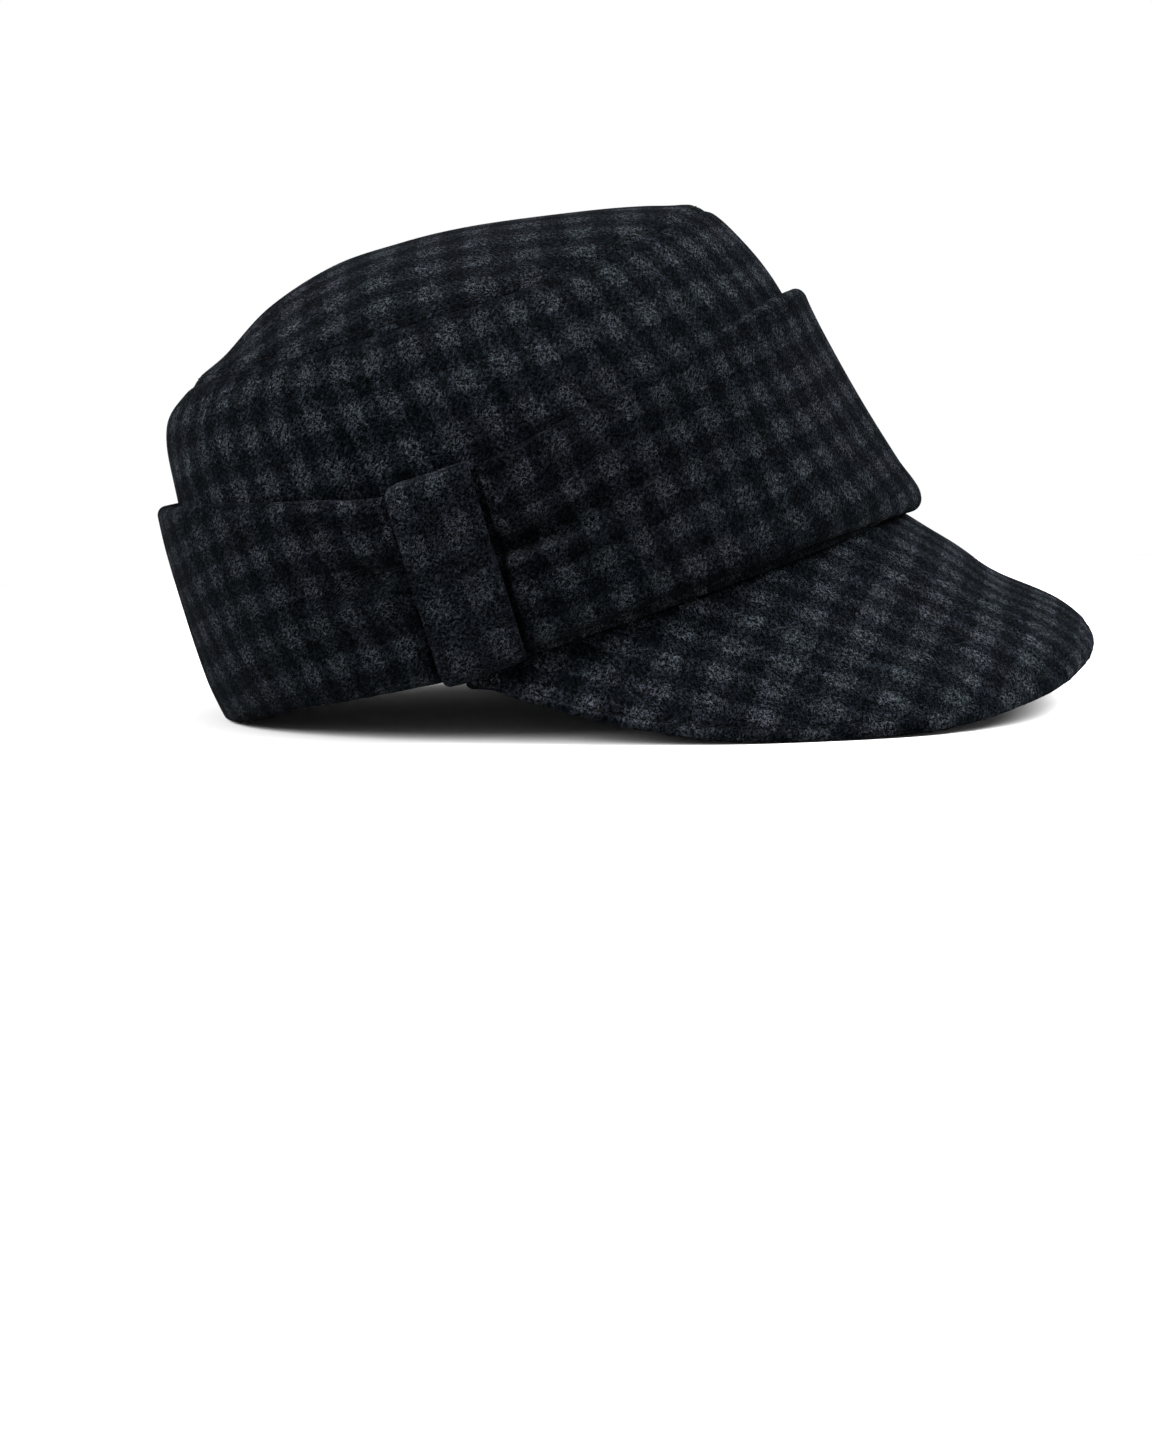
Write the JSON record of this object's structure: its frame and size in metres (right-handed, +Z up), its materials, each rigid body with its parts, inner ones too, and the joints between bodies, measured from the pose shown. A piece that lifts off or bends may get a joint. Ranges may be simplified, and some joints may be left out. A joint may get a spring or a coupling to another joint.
{
  "type": "peaked wool cap with turned-up cuff",
  "caption": "Soft checked wool cap with a domed crown, a deep turned-up cuff that dips to a keeper loop at each side, and a sloping sewn peak.",
  "frame": {"origin": "centre of the footprint of the cap as it lies, on the floor", "axes": "+Z up from the floor, peak toward -Y, the wearer's right toward -X"},
  "size_m": [0.2126, 0.2832, 0.1509],
  "materials": {
    "checked_wool": "brushed",
    "under_wool": "brushed"
  },
  "bodies": {
    "root": {"crown_side": "checked_wool", "crown_tip": "checked_wool", "cuff": "checked_wool", "keeper_loop_right": "checked_wool", "keeper_loop_left": "checked_wool", "peak_top": "checked_wool", "peak_under": "under_wool"}
  },
  "joints": []
}
